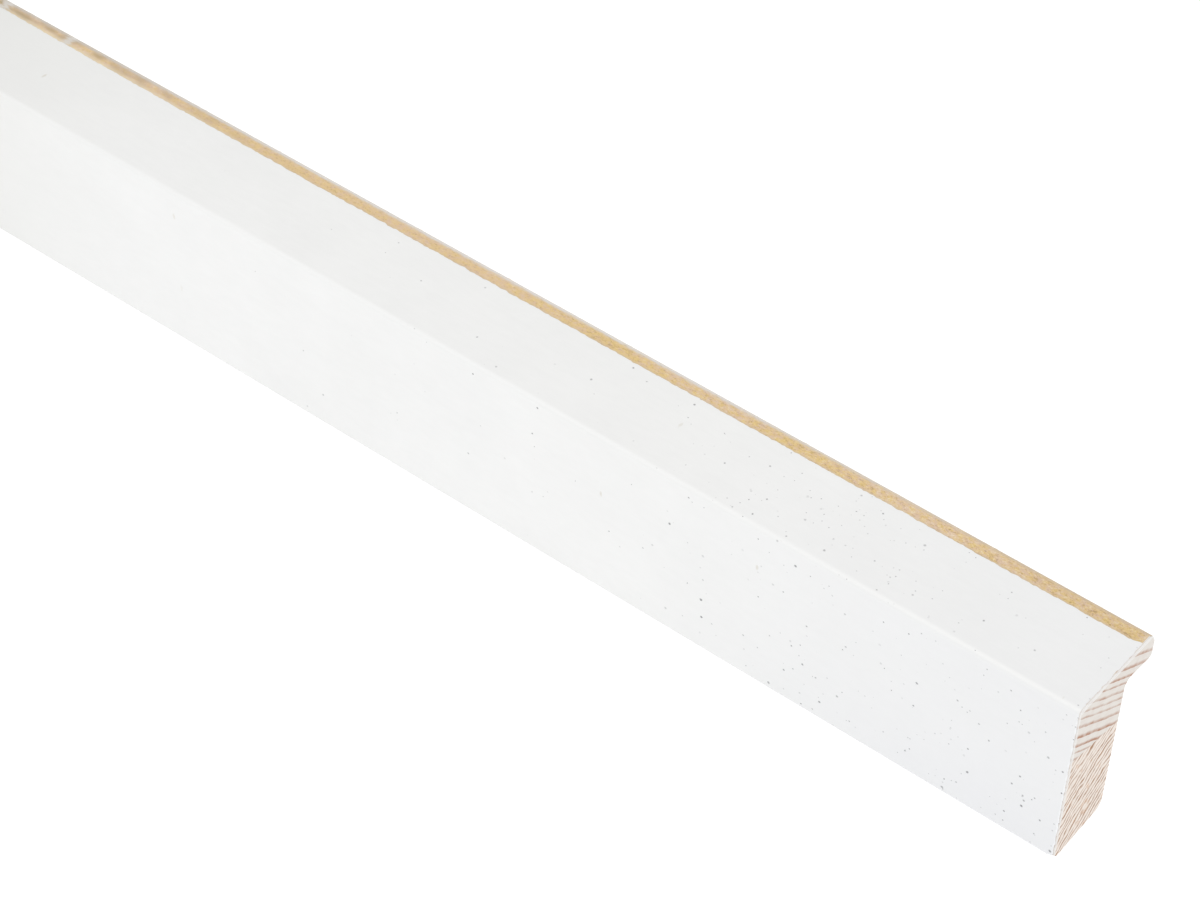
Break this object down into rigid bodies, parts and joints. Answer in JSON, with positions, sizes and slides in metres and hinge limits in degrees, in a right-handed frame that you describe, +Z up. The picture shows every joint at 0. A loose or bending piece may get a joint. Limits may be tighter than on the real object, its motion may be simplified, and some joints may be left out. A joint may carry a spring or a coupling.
{
  "type": "picture frame moulding",
  "caption": "Cut length of deep, narrow picture frame moulding: tall flat side, sloping top with a rounded ridge, and a thin lip over a deep rebate.",
  "frame": {"origin": "under the middle of the length and of the width, on the plane that the moulding stands on", "axes": "+X along the length, +Y from the tall outer side to the sight edge, +Z up from the back of the frame to its face"},
  "size_m": [0.25, 0.02, 0.033],
  "materials": {
    "white_paint": "matt white paint over a thin ground, with fine dark grey specks",
    "gold_edge": "mottled antique gold band along the sight edge",
    "bare_pine": "bare sawn and planed softwood"
  },
  "bodies": {
    "root": {"upper_timber": "white_paint", "lower_timber": "white_paint"}
  },
  "joints": []
}
